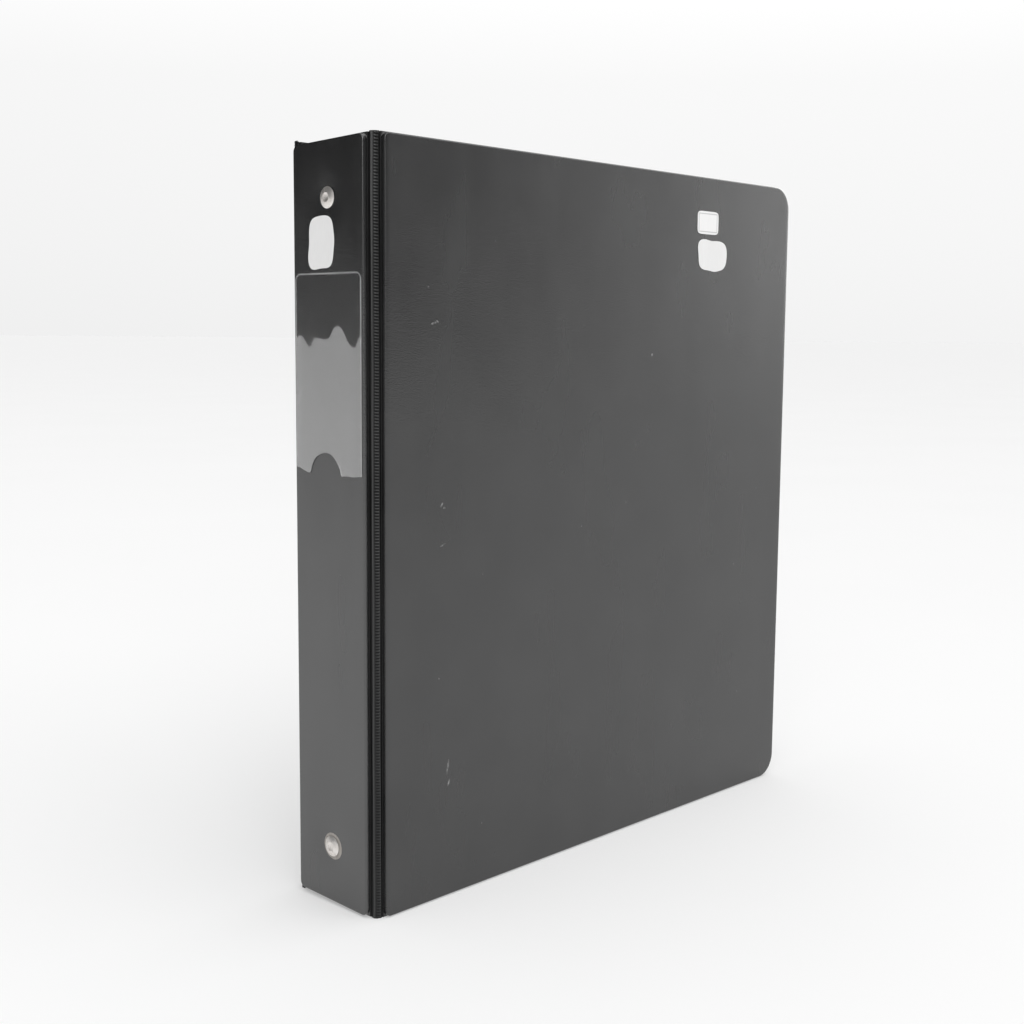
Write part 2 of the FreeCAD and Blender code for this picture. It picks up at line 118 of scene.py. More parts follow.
def grid_border(index):
    """Vertex numbers round the border of a grid, each once."""
    return np.concatenate([index[0, :-1], index[:-1, -1], index[-1, :0:-1], index[:0:-1, 0]])


def thin_sheet(outer, inner):
    """Closed sheet between two grids of points: both faces, and a band round their borders."""
    count = outer.shape[0] * outer.shape[1]
    index = np.arange(count).reshape(outer.shape[:2])
    loop = grid_border(index)
    loop = np.append(loop, loop[0])
    quads = [grid_quads(index), grid_quads(count + index)[:, ::-1],
             grid_quads(np.stack([loop, count + loop]))[:, ::-1]]
    return np.concatenate([outer.reshape(-1, 3), inner.reshape(-1, 3)]), np.concatenate(quads)


def signed_volume(points, quads):
    """Volume inside a closed mesh: the sum of a . (b x c) / 6 over its triangles."""
    a, b, c, d = [points[quads[:, k]] for k in range(4)]
    halves = np.einsum("ij,ij->i", a, np.cross(b, c)) + np.einsum("ij,ij->i", a, np.cross(c, d))
    return halves.sum() / 6


def make_mesh(name, points, quads, material, masks=None, crease=50.0):
    """Object from points in millimetres and quads, turned so that its faces point outward.

    masks maps the name of a point attribute to its values.
    """
    quads = np.asarray(quads)
    if signed_volume(points, quads) < 0:
        quads = quads[:, ::-1]
    mesh = bpy.data.meshes.new(name)
    mesh.from_pydata((points * MM).tolist(), [], quads.tolist())
    for label, values in (masks or {}).items():
        mesh.attributes.new(label, "FLOAT", "POINT").data.foreach_set("value", values.astype(np.float32))
    mesh.shade_smooth()
    mesh.set_sharp_from_angle(angle=math.radians(crease))
    mesh.validate()
    piece = bpy.data.objects.new(name, mesh)
    bpy.context.scene.collection.objects.link(piece)
    piece.data.materials.append(material)
    return piece


def end_caps(index):
    """Quads that close both ends of a tube, whose rows are its cross-sections of an even count.

    A section's points are paired across it: k with count - 1 - k.
    """
    count = index.shape[1]
    k = np.arange(count // 2 - 1)
    caps = [np.stack([row[k], row[k + 1], row[count - 2 - k], row[count - 1 - k]], -1)
            for row in (index[0], index[-1][::-1])]
    return np.concatenate(caps)


def tube_quads(index):
    """Faces of a closed tube: its wall round every section, and a cap at both ends."""
    around = np.concatenate([index, index[:, :1]], 1)
    return np.concatenate([grid_quads(around), end_caps(index)])


def waves(u, v, terms):
    """Sum of sine waves: amplitude * sin(2 pi (u / length_u + v / length_v) + phase)."""
    total = np.zeros(np.broadcast(u, v).shape)
    for amplitude, length_u, length_v, phase in terms:
        total += amplitude * np.sin(2 * math.pi * (u / length_u + v / length_v) + phase)
    return total


def finish_piece(piece, body, slot, *replaced):
    """Hangs a finished piece on its body and hides the nodes that it stands for; slot is not used."""
    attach(piece, body)
    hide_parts(*replaced)


# ---------------------------------------------------------------- draped panels
# from a raised wall out to the rim's edge: offset, height above the rim, and share of the rim's width
RIM_PROFILE = [(0.02, 0.30, 0.0), (0.03, 0.12, 0.08), (0.0, 0.02, 0.30), (0.0, 0.0, 0.55),
               (0.0, -0.04, 0.80), (0.0, -0.16, 1.0)]
NARROWEST_RIM = 0.03    # where there is no weld
RIM_FOOT = 0.03         # underside of the rim above the inner sheet
UNDER_FOOT = 0.02       # underside of the wall above the inner sheet
SPINE_GRID = 0.8        # spacing of the rows of each skin
COVER_GRID = 1.7


def inset(depth, radius):
    """How far an outline stands in at a depth from its end, inside a corner of that radius."""
    left = np.clip(radius - depth, 0, None)
    return radius - np.sqrt(np.clip(radius ** 2 - left ** 2, 0, None))


def row_places(low, high, radii, spacing):
    """Rows from low to high: close together by equal turns inside the corners, then evenly."""
    small, large = sorted((min(radii), max(radii)))
    turns = np.linspace(0, math.pi / 2, 8)
    start = small * (1 - np.cos(turns))
    if large > small:
        begin = math.acos(1 - small / large)
        turns = np.linspace(begin, math.pi / 2, 9)[1:]
        start = np.concatenate([start, large * (1 - np.cos(turns))])
    count = int((high - low - 2 * start[-1]) / spacing)
    middle = np.linspace(low + start[-1], high - start[-1], count)[1:-1]
    return np.concatenate([low + start, middle, high - start[::-1]])


def draped_skin(low, high, radii, weld, spacing, relief):
    """Vinyl drawn over a board and welded flat outside it, as a closed sheet.

    low and high are the corners of the covered panel, its rim included; radii
    are those of the raised part, in the order low-low, high-low, high-high,
    low-high; weld is the rim's width on the sides low a, low b, high a, high b.
    The flat top is a grid whose rows run between the two sides of the outline.
    From its edge, rings go out and down: a quarter circle of the drape radius,
    a short wall, a small fillet, the flat rim and its outer edge.  The underside
    follows one sheet lower.  relief(a, b) is added to the height of the top.
    Returns points (a, b, height) and quads.
    """
    raised_low = np.array([low[0] + weld[0], low[1] + weld[1]])
    raised_high = np.array([high[0] - weld[2], high[1] - weld[3]])
    top_low, top_high = raised_low + DRAPE, raised_high - DRAPE
    top_radii = [r - DRAPE for r in radii]
    rows = row_places(top_low[1], top_high[1], top_radii, spacing)
    lower = rows < (top_low[1] + top_high[1]) / 2
    from_low, from_high = rows - top_low[1], top_high[1] - rows
    left = np.where(lower, inset(from_low, top_radii[0]), inset(from_high, top_radii[3]))
    right = np.where(lower, inset(from_low, top_radii[1]), inset(from_high, top_radii[2]))
    share = np.linspace(0, 1, int((top_high[0] - top_low[0]) / spacing))
    start = (top_low[0] + left)[:, None]
    width = (top_high[0] - top_low[0] - left - right)[:, None]
    a = start + width * share
    b = np.repeat(rows[:, None], len(share), 1)
    index = np.arange(a.size).reshape(a.shape)
    loop = grid_border(index)

    # corner centres and outward directions round the outline
    edge = np.stack([a.ravel()[loop], b.ravel()[loop]], -1)
    middle = (raised_low + raised_high) / 2
    corner = np.where(edge[:, 1] < middle[1],
                      np.where(edge[:, 0] < middle[0], 0, 1), np.where(edge[:, 0] < middle[0], 3, 2))
    radius = np.array(radii)[corner][:, None]
    centre = np.clip(edge, raised_low + radius, raised_high - radius)
    out = edge - centre
    out /= np.linalg.norm(out, axis=1, keepdims=True)
    with np.errstate(divide="ignore", invalid="ignore"):
        to_low = np.where(out < -1e-9, (np.array(low) - centre) / out, np.inf)
        to_high = np.where(out > 1e-9, (np.array(high) - centre) / out, np.inf)
    square = np.minimum(to_low, to_high).min(1, keepdims=True)
    welded = np.array(weld) > 0
    round_rim = np.array([welded[0] & welded[1], welded[2] & welded[1],
                          welded[2] & welded[3], welded[0] & welded[3]])[corner][:, None]
    reach = np.where(round_rim, np.minimum(square, radius + WELD), square)
    reach = np.maximum(reach, radius + NARROWEST_RIM)

    def ring(offset, height, share_of_rim=0.0):
        """Points round the outline at an offset from the raised wall and a share of the rim's width."""
        distance = radius + offset + (reach - radius) * share_of_rim
        return np.concatenate([centre + out * distance, np.full((len(loop), 1), height)], 1)

    rim = 2 * SHEET
    steps = np.linspace(0, math.pi / 2, 7)[1:]
    outer = [ring(DRAPE * (math.sin(t) - 1), PANEL - DRAPE * (1 - math.cos(t))) for t in steps]
    outer += [ring(offset, rim + rise, across) for offset, rise, across in RIM_PROFILE]
    outer += [ring(0, SHEET + RIM_FOOT, 1.0)]
    bend = DRAPE - SHEET
    under = [ring(-SHEET, SHEET + UNDER_FOOT)]
    under += [ring(-SHEET - bend * (1 - math.sin(t)), PANEL - SHEET - bend * (1 - math.cos(t)))
              for t in steps[::-1]]

    height = PANEL + relief(a, b)
    top = np.stack([a, b, height], -1).reshape(-1, 3)
    bottom = top - [0, 0, SHEET]
    points = [top] + outer + under + [bottom]
    first = len(top) + np.arange(len(outer) + len(under)) * len(loop)
    rings = [loop] + [f + np.arange(len(loop)) for f in first] + [first[-1] + len(loop) + loop]
    around = np.stack([np.append(r, r[0]) for r in rings])
    quads = [grid_quads(index), grid_quads(around)[:, ::-1],
             grid_quads(first[-1] + len(loop) + index)[:, ::-1]]
    return np.concatenate(points), np.concatenate(quads)


def edge_fade(a, b, low, high, width):
    """0 at the edges of a rectangle and 1 from that width inside it."""
    inside = np.minimum(np.minimum(a - low[0], high[0] - a), np.minimum(b - low[1], high[1] - b))
    return smoothstep(0, width, inside)


RIVET_HEIGHTS = [sum(node_box(name))[2] / 2 for name in ("bottom_rivet", "top_rivet")]
DIMPLE_DEPTHS = (0.62, 0.34)    # round the bottom and the top rivet
DIMPLE_SPREADS = (6.2, 5.2)
# waves: amplitude, length along each direction, phase
SPINE_SWELLS = [(1, 75, 210, 0.4), (0.7, -52, 130, 1.9), (0.4, 33, 61, 0.2)]
COVER_SWELLS = [(1, 260, 420, 0.9), (0.6, 140, -190, 2.2), (0.35, -70, 88, 0.1)]
SPINE_SWELL, SPINE_FADE = 0.035, 7      # height, and width of the flatter band along the edges
COVER_SWELL, COVER_FADE = 0.04, 16


def spine_relief(y, z):
    """Soft swells of the drawn sheet, and a dimple exp(-r^2 / 2s^2) round each rivet."""
    height = SPINE_SWELL * waves(y, z, SPINE_SWELLS)
    height *= edge_fade(y, z, spine_low[1:], spine_high[1:], SPINE_FADE)
    for place, depth, spread in zip(RIVET_HEIGHTS, DIMPLE_DEPTHS, DIMPLE_SPREADS):
        far = (y ** 2 + (z - place) ** 2) / (2 * spread ** 2)
        height -= depth * np.exp(-far)
    return height


def cover_relief(x, z):
    """Long swells of the board and sheet, flatter toward the edges and never above the panel."""
    crest = sum(swell[0] for swell in COVER_SWELLS)
    height = COVER_SWELL * (waves(x, z, COVER_SWELLS) - crest)
    return height * edge_fade(x, z, (HINGE_SIDE, 0), (FORE_EDGE, HEIGHT), COVER_FADE)


def spine_stretch(y, z):
    """Height of a spine point: the welded sheets run longer by STRETCH toward the front hinge.

    z' = m + (z - m) (1 + s(y) / m), where m is the middle height and s goes
    from its front to its back value across the spine.
    """
    middle = (spine_inner_low[2] + spine_inner_high[2]) / 2
    share = np.clip((y + SPINE_HALF) / (2 * SPINE_HALF), 0, 1)
    longer = STRETCH[0] + (STRETCH[1] - STRETCH[0]) * share
    return middle + (z - middle) * (1 + longer / middle)


def add_spine_lining(vinyl):
    """Inner sheet of the spine, cut like the outer one."""
    y, z = np.meshgrid(np.linspace(-SPINE_HALF, SPINE_HALF, 5),
                       np.linspace(spine_inner_low[2], spine_inner_high[2], 9))
    face = np.stack([SPINE_BACK + 0 * y, y, spine_stretch(y, z)], -1)
    points, quads = thin_sheet(face, face - [SHEET, 0, 0])
    lining = make_mesh("spine_lining", points, quads, vinyl)
    finish_piece(lining, "spine", "inner_vinyl", "spine_inner_vinyl")


def add_skins(spine_vinyl, cover_vinyl):
    """Outer vinyl of the spine and of both covers."""
    low, high = (-SPINE_HALF, spine_inner_low[2]), (SPINE_HALF, spine_inner_high[2])
    radii = [SPINE_RADIUS] * 4
    points, quads = draped_skin(low, high, radii, (0, WELD, 0, WELD), SPINE_GRID, spine_relief)
    points[:, 1] = spine_stretch(points[:, 0], points[:, 1])
    placed = np.stack([SPINE_BACK - points[:, 2], points[:, 0], points[:, 1]], -1)
    skin = make_mesh("spine_skin", placed, quads, spine_vinyl)
    finish_piece(skin, "spine", "outer_vinyl", "spine_outer_vinyl")
    low, high = (HINGE_SIDE, 0), (FORE_EDGE, HEIGHT)
    radii = [HINGE_RADIUS, FORE_RADIUS, FORE_RADIUS, HINGE_RADIUS]
    points, quads = draped_skin(low, high, radii, (0, WELD, WELD, WELD), COVER_GRID, cover_relief)
    for name, side in SIDES.items():
        placed = np.stack([points[:, 0], side * (COVER_BACK + points[:, 2]), points[:, 1]], -1)
        skin = make_mesh(name + "_skin", placed, quads, cover_vinyl)
        finish_piece(skin, name + "_cover", "outer_vinyl", name + "_outer_vinyl")


# ---------------------------------------------------------------- hinge strips
STRIP_GAP = 0.2         # fold line to the edge of the strip
STRIP_RISE = 1.0        # of its arc over the chord between the folds
STRIP_SHORTER = 0.4     # at each end, along the edge by the spine
STRIP_CREASE = 38.0     # degrees, past which an edge shows sharp
RIDGE_TOP = 0.46        # height above the inner ply
RUNG_PITCH = 1.13
RUNG_TOP = RIDGE_TOP - 0.05
# share of the pitch, and height there as a share of the rung's
RUNG_SHAPE = [(0.0, 0.0), (0.16, 0.0), (0.30, 0.9), (0.50, 1.0), (0.70, 0.9), (0.84, 0.0)]
PLAIN_END = 0.15        # at each end, without rungs
# share across the strip, height there where no rung stands, and gloss there: low in the grooves as
# painted shade, high on the ridges as painted highlight
STRIP_PROFILE = [
    (0.00, 0.20, 0.5), (0.03, 0.26, 0.2), (0.07, 0.16, 0.0), (0.12, 0.10, 0.0),
    (0.18, 0.12, 0.1), (0.22, 0.36, 0.5), (0.25, 0.44, 0.7), (0.29, 0.34, 0.45),
    (0.34, 0.16, 0.25), (0.38, 0.12, 0.2), (0.42, 0.08, 0.05), (0.47, 0.05, 0.0),
    (0.53, 0.04, 0.0), (0.60, 0.04, 0.0), (0.66, 0.04, 0.0), (0.72, 0.04, 0.0),
    (0.77, 0.05, 0.05), (0.81, 0.10, 0.1), (0.84, 0.34, 0.3), (0.87, 0.38, 0.4),
    (0.90, 0.14, 0.0), (0.94, 0.10, 0.0), (0.98, 0.14, 0.0), (1.00, 0.20, 0.2)]
LADDER_SPAN = (0.44, 0.83)      # shares between which the rungs stand


def hinge_strip(side):
    """Ribbed outer ply of a hinge.

    The cross-section is an arc over the chord between the two folds, and its
    top follows the strip's profile.  Between two of the ridges, rungs of a
    fixed pitch stand up: height = floor + (top - floor) * rung(z), where rung
    is a flat-topped wave.  The rungs are pressed more lightly low down.
    Returns points, quads and the gloss at each point, which paints shade into the grooves and highlights
    onto the ridges and the rungs.
    """
    start = joint_place("back_cover_fold_at_spine")[:2]
    end = joint_place("back_cover_fold_at_cover")[:2]
    span = end - start
    length = np.linalg.norm(span)
    along = span / length
    outward = np.array([-along[1], along[0]])
    half = length / 2 - STRIP_GAP
    radius = (half ** 2 + STRIP_RISE ** 2) / (2 * STRIP_RISE)
    centre = start + span / 2 + outward * (STRIP_RISE - radius)
    swing = math.asin(half / radius)

    fractions, rung_shape = np.array(RUNG_SHAPE).T
    count = int(HEIGHT / RUNG_PITCH)
    z = (np.arange(count)[:, None] + fractions).ravel() * HEIGHT / count
    rung = np.tile(rung_shape, count)
    z, rung = np.append(z, HEIGHT), np.append(rung, 0.0)
    z = np.clip(z, PLAIN_END, HEIGHT - PLAIN_END)
    z[0], z[-1] = 0.0, HEIGHT

    share, low, gloss_and_painted_light = np.array(STRIP_PROFILE).T
    ladder = ((share > LADDER_SPAN[0]) & (share < LADDER_SPAN[1])).astype(float)
    strength = 0.55 + 0.45 * smoothstep(0.15 * HEIGHT, 0.6 * HEIGHT, z)
    rung = (rung * strength)[:, None]
    lift = low + (RUNG_TOP - low) * ladder * rung
    # painted highlight: the rung tops get more coat toward the cover side of the strip
    gloss_and_painted_light = gloss_and_painted_light + ladder * rung ** 2 * smoothstep(0.3, 0.75, share)
    sway = 0.05 * waves(0 * z, z, [(1, 1, 97, 0.3), (0.6, 1, 41, 1.1)])
    angle = (share * 2 - 1) * swing + (sway / radius)[:, None]
    top = radius + lift
    under = np.full_like(top, radius + 0.01)
    sheen = np.concatenate([gloss_and_painted_light, 0 * gloss_and_painted_light], 1).ravel()
    r = np.concatenate([top, under], 1)
    t = np.concatenate([angle, angle[:, ::-1]], 1)
    xy = centre + along * (r * np.sin(t))[..., None] + outward * (r * np.cos(t))[..., None]
    shorter = STRIP_SHORTER * (1 - smoothstep(0.0, 0.45, np.concatenate([share, share[::-1]])))
    tall = HEIGHT / 2 + (z[:, None] - HEIGHT / 2) * (1 - 2 * shorter / HEIGHT)
    points = np.concatenate([xy, tall[..., None]], -1)
    points[..., 1] *= side
    quads = tube_quads(np.arange(r.size).reshape(r.shape))
    return points.reshape(-1, 3), quads, np.clip(sheen, 0, 1)


def fold_web(side, at_cover):
    """Groove of a fold: a thin sheet that dips between a panel's foot and the strip's edge.

    Across, it goes from the panel (share 0) to the strip (share 1) on a straight
    line with a dip of sin(pi share); margins are its distances from the binder's
    top and bottom at those two sides.  Returns points, quads and both sides'
    places in metres.
    """
    if at_cover:
        start = np.array([HINGE_SIDE + 0.1, COVER_BACK + SHEET + 0.25])
        end = joint_place("back_cover_fold_at_cover")[:2] + [-0.28, 0.08]
        margins = 0.2, 0.1
        dip = np.array([0.12, -0.2])
    else:
        start = np.array([SPINE_BACK - SHEET - 0.25, SPINE_HALF - 0.1])
        end = joint_place("back_cover_fold_at_spine")[:2] + [-0.12, 0.28]
        margins = spine_inner_low[2] - STRETCH[0] + 0.2, STRIP_SHORTER + 0.05
        dip = np.array([0.2, -0.12])
    across = np.linspace(0, 1, 9)
    line = start + (end - start) * across[:, None] + dip * np.sin(math.pi * across)[:, None]
    slope = (end - start) / np.linalg.norm(end - start)
    normal = np.array([slope[1], -slope[0]]) * (0.5 * SHEET)
    section = np.concatenate([line + normal, (line - normal)[::-1]])
    depth = np.concatenate([across, across[::-1]])
    margin = margins[0] + (margins[1] - margins[0]) * depth
    share = np.linspace(0, 1, 120)[:, None]
    z = margin + (HEIGHT - 2 * margin) * share
    points = np.empty(z.shape + (3,))
    points[..., 0] = section[:, 0]
    points[..., 1] = side * section[:, 1]
    points[..., 2] = z
    quads = tube_quads(np.arange(z.size).reshape(z.shape))
    place = [(p[0] * MM, side * p[1] * MM, HEIGHT / 2 * MM) for p in (start, end)]
    return points.reshape(-1, 3), quads, place


def add_hinges(vinyl):
    """Both hinge strips and the folds on either side of them."""
    for name, side in SIDES.items():
        points, quads, gloss_and_painted_light = hinge_strip(side)
        strip = make_mesh(name + "_hinge_strip", points, quads, vinyl, {"gloss_and_painted_light": gloss_and_painted_light}, STRIP_CREASE)
        finish_piece(strip, name + "_hinge", "hinge_vinyl", name + "_hinge_outer_vinyl")
        for part, at_cover in (("spine", False), ("cover", True)):
            points, quads, place = fold_web(side, at_cover)
            # the fold webs carry no per-point gloss, so the hinge material gives them its thinnest coat:
            # painted shade in the grooves
            web = make_mesh(name + "_fold_at_" + part, points, quads, vinyl)
            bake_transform(web)


# ---------------------------------------------------------------- label pocket
FILM = 0.16             # thickness
FILM_REST = 0.2         # its outer face over the spine at the welds
FILM_RISE = 0.12        # and how much higher between them
FILM_WAVE, FILM_DENT = 0.009, 0.017
FILM_WAVES = [(1.0, 15, 240, 0.2), (0.8, 27, -160, 1.4), (0.5, 8.3, 310, 2.6), (0.35, 60, 22, 0.9)]
FILM_DENTS = [(1.0, 21, 31, 0.9), (0.7, -14, 24, 2.3)]
POCKET_WELD = 1.5
POCKET_RADIUS = 3.0
SEAM_IN, SEAM_HALF, SEAM_BEAD = 0.28, 0.22, 0.05    # from the edge, half width, height
NOTCH_WIDTH = 18.0
NOTCH_HEIGHT = 7.8
NOTCH_OFF_CENTRE = 1.6
POCKET_SLANT = 1.7      # rise of the bottom edge toward the back hinge


def add_label_pocket(film):
    """Clear film over the upper half of the spine, welded on three sides.

    A column at y runs from the bottom edge, raised by the thumb notch's arc
    sqrt(R^2 - (y - c)^2), to the top edge, lowered by the rounded corners.  The
    film lies on the spine at its welds and stands off it between them, with
    faint upright waves and shallow dents.  The seam is a bead exp(-t^2) along
    the welds that fades toward the open edge.
    """
    low, high = pocket_low[1:], pocket_high[1:]
    y = np.linspace(low[0], high[0], 121)
    notch_radius = ((NOTCH_WIDTH / 2) ** 2 + NOTCH_HEIGHT ** 2) / (2 * NOTCH_HEIGHT)
    gap = np.clip(notch_radius ** 2 - (y - NOTCH_OFF_CENTRE) ** 2, 0, None)
    notch = np.clip(np.sqrt(gap) + NOTCH_HEIGHT - notch_radius, 0, None)
    notch = notch + POCKET_SLANT * smoothstep(9.5, 19.0, y)
    ragged = 0.3 + 0.25 * waves(y, 0 * y, [(1, 23, 1, 0.6), (0.6, 9.5, 1, 2.0)])
    bottom = low[1] + notch + ragged
    side = np.minimum(y - low[0], high[0] - y)
    top = high[1] - inset(side, POCKET_RADIUS)
    share = np.linspace(0, 1, 171)
    z = bottom + (top - bottom) * share[:, None]
    y = np.repeat(y[None, :], len(share), 0)
    border = np.minimum(np.minimum(y - low[0], high[0] - y), top - z)
    lifted = smoothstep(POCKET_WELD * 0.6, POCKET_WELD * 2.4, border)
    uneven = FILM_WAVE * waves(y, z, FILM_WAVES) + FILM_DENT * waves(y, z, FILM_DENTS)
    seam_and_painted_glow = np.exp(-((border - SEAM_IN) / SEAM_HALF) ** 2)
    seam_and_painted_glow *= 0.35 + 0.65 * smoothstep(0.45, 0.9, share)[:, None]
    height = FILM_REST + lifted * (FILM_RISE + uneven) + SEAM_BEAD * seam_and_painted_glow
    outer = np.stack([SPINE_FACE - height, y, z], -1)
    inner = outer + [FILM, 0, 0]
    points, quads = thin_sheet(outer, inner)
    # the seam mask also sets where the film glows: a painted highlight along the welds
    mask = np.tile(np.clip(seam_and_painted_glow, 0, 1).ravel(), 2)
    pocket = make_mesh("clear_label_pocket", points, quads, film, {"seam_and_painted_glow": mask})
    finish_piece(pocket, "spine", "clear_film", "spine_label_pocket")


# ---------------------------------------------------------------- inner pockets
POCKET_SHEET = 0.3      # thickness
POCKET_STAND = 0.36     # its face over the cover's inner face at the welds
POCKET_SWELLS = [(1, 83, 140, 0.3), (0.7, -46, 71, 1.2)]


def add_inner_pockets(vinyl):
    """Satin sheet inside each cover, welded on three sides and a little open at the top.

    Its height over the cover is a low bulge, nil at the welds and fuller near
    the open top edge, with a pressed line along each weld.
    """
    low, high = node_box("back_inner_pocket")
    x = np.linspace(low[0], high[0], 105)
    z = np.linspace(low[2], high[2], 75)
    x, z = np.meshgrid(x, z)
    weld = np.minimum(np.minimum(x - low[0], high[0] - x), z - low[2])
    bulge = 0.12 + 0.16 * smoothstep(low[2], high[2], z) + 0.02 * waves(x, z, POCKET_SWELLS)
    pressed = 0.05 * np.exp(-((weld - 1.6) / 0.5) ** 2)
    depth = POCKET_STAND + smoothstep(2.5, 14, weld) * bulge - pressed
    outer = np.stack([x, COVER_BACK - depth, z], -1)
    points, quads = thin_sheet(outer, outer + [0, POCKET_SHEET, 0])
    for name, side in SIDES.items():
        pocket = make_mesh(name + "_pocket_sheet", points * [1, side, 1], quads, vinyl)
        finish_piece(pocket, name + "_cover", "pocket_vinyl", name + "_inner_pocket")


# ---------------------------------------------------------------- labels
PAPER = 0.1             # upper face over what it is stuck to
GLUE = 0.01             # lower face
CURL = 0.03             # of the edge
LABEL_RINGS = np.array([0.02, 0.25, 0.5, 0.75, 0.92, 1.0])     # shares of the way to the outline


def blob_outline(angle, half, power, wobble):
    """Superellipse |u/a|^n + |v/b|^n = 1 in polar form, its radius varied by a few sine waves."""
    c, s = np.cos(angle), np.sin(angle)
    radius = (np.abs(c / half[0]) ** power + np.abs(s / half[1]) ** power) ** (-1 / power)
    for order, amount, phase in wobble:
        radius = radius * (1 + amount * np.sin(order * angle + phase))
    return radius


def add_label(name, body, place, node, power, wobble, paper):
    """Paper label: rings of points from its middle to its outline, with a slightly lifted edge.

    place(middle, u, v, lift) is a point in space; size and middle are the node's.
    """
    angle = np.linspace(0, 2 * math.pi, 97)[:-1]
    low, high = node_box(node)
    middle = (low + high) / 2
    size = [s for s in (high - low) if s > 1]
    edge = blob_outline(angle, (size[0] / 2, size[1] / 2), power, wobble)
    radius = LABEL_RINGS[:, None] * edge
    u, v = radius * np.cos(angle), radius * np.sin(angle)
    lift = PAPER + CURL * smoothstep(0.75, 1.0, LABEL_RINGS)[:, None] * np.sin(2 * angle + 0.5)
    upper = place(middle, u, v, lift)
    lower = place(middle, u, v, np.full_like(lift, GLUE))
    count = u.size
    index = np.arange(count).reshape(u.shape)
    index = np.concatenate([index, index[:, :1]], 1)
    quads = [grid_quads(index), grid_quads(count + index)[:, ::-1],
             grid_quads(np.stack([index[-1], count + index[-1]]))]
    # the small hole at the middle is closed with one strip of quads on each face
    hub = end_caps(np.stack([index[0, :-1], count + index[0, :-1]]))
    points = np.concatenate([upper.reshape(-1, 3), lower.reshape(-1, 3)])
    label = make_mesh(name, points, np.concatenate(quads + [hub]), paper)
    finish_piece(label, body, "label_paper", node)


def add_labels(paper, printed):
    """Blank labels on the spine and on the front cover."""
    def on_spine(c, u, v, lift):
        return np.stack([SPINE_FACE - lift, c[1] - u, c[2] + v], -1)

    def on_cover(c, u, v, lift):
        return np.stack([c[0] + u, -COVER_FACE - lift, c[2] + v], -1)

    add_label("spine_paper", "spine", on_spine, "spine_label", 4.2,
              [(2, 0.03, 0.4), (3, 0.03, 2.2), (5, 0.018, 0.9)], paper)
    add_label("cover_paper", "front_cover", on_cover, "cover_label", 3.8,
              [(2, 0.03, 2.4), (3, 0.035, 0.3), (5, 0.02, 1.7)], paper)
    add_label("price_paper", "front_cover", on_cover, "price_label", 7.0, [], printed)


# ---------------------------------------------------------------- shader helpers
def new_group(name, inputs, outputs):
    """Empty shader group with its sockets; returns it with its own node and link lists."""
    group = bpy.data.node_groups.new(name, "ShaderNodeTree")
    for label, kind, value in inputs:
        socket = group.interface.new_socket(name=label, in_out="INPUT", socket_type="NodeSocket" + kind)
        socket.default_value = value
    for label, kind in outputs:
        group.interface.new_socket(name=label, in_out="OUTPUT", socket_type="NodeSocket" + kind)
    entry = group.nodes.new("NodeGroupInput")
    leave = group.nodes.new("NodeGroupOutput")
    return group, entry.outputs, leave.inputs


def add_node(tree, kind, settings=None, **inputs):
    """New node: settings are its properties, inputs its sockets, each a value or a link."""
    node = tree.nodes.new("ShaderNode" + kind)
    for key, value in (settings or {}).items():
        setattr(node, key, value)
    feed(tree, node.inputs, **inputs)
    return node


def connect(tree, socket, value):
    """Sets a socket to a value, or links it to another socket."""
    if isinstance(value, bpy.types.NodeSocket):
        tree.links.new(value, socket)
    else:
        socket.default_value = value


def feed(tree, sockets, **values):
    """Connects several sockets by name, with an underscore for each space."""
    for key, value in values.items():
        connect(tree, sockets[key.replace("_", " ")], value)


def noise(tree, place, scale, detail, **more):
    """Noise pattern, about 0.5 on average."""
    return add_node(tree, "TexNoise", Vector=place, Scale=scale, Detail=detail, **more).outputs["Fac"]


def math_node(tree, operation, *values):
    """Result of a Math node on up to three values or sockets."""
    node = add_node(tree, "Math", {"operation": operation})
    for socket, value in zip(node.inputs, values):
        connect(tree, socket, value)
    return node.outputs[0]


def ranged(tree, value, low, high, to_low, to_high, smooth=False):
    """Value mapped from one range to another, clamped."""
    kind = {"interpolation_type": "SMOOTHSTEP" if smooth else "LINEAR"}
    node = add_node(tree, "MapRange", kind, Value=value, From_Min=low, From_Max=high,
                    To_Min=to_low, To_Max=to_high)
    return node.outputs[0]


def mixed(tree, factor, first, second):
    """Colour between two colours or sockets."""
    node = add_node(tree, "Mix", {"data_type": "RGBA"})
    connect(tree, node.inputs[0], factor)
    connect(tree, node.inputs[6], first)
    connect(tree, node.inputs[7], second)
    return node.outputs[2]


def object_place(tree):
    """Object coordinates: places in metres, on the axes of the CAD frame."""
    return add_node(tree, "TexCoord").outputs["Object"]


def use_group(tree, group, **inputs):
    """Places a group in a tree and returns its outputs."""
    node = tree.nodes.new("ShaderNodeGroup")
    node.node_tree = group
    feed(tree, node.inputs, **inputs)
    return node.outputs


def grey(level, warmth=0.0):
    """Near-neutral colour; warmth above 0 leans to yellow."""
    return (level * (1 + warmth), level, level * (1 - warmth), 1.0)


def grain_group():
    """Fine embossed grain: rounded cells with soft noise, and a slow mottle of tone."""
    group, given, out = new_group(
        "fine_grain", [("Cells", "Float", 2400.0), ("Softness", "Float", 0.4)],
        [("Height", "Float"), ("Mottle", "Float")])
    place = object_place(group)
    cells = add_node(group, "TexVoronoi", {"feature": "SMOOTH_F1"}, Vector=place,
                     Scale=given["Cells"], Smoothness=given["Softness"]).outputs["Distance"]
    soft = noise(group, place, math_node(group, "MULTIPLY", given["Cells"], 0.45), 2.0)
    rounded = math_node(group, "SUBTRACT", 1.0, cells)
    height = math_node(group, "MULTIPLY_ADD", soft, 0.6, math_node(group, "MULTIPLY", rounded, 0.5))
    feed(group, out, Height=height, Mottle=noise(group, place, 34.0, 4.0, Roughness=0.6))
    return group


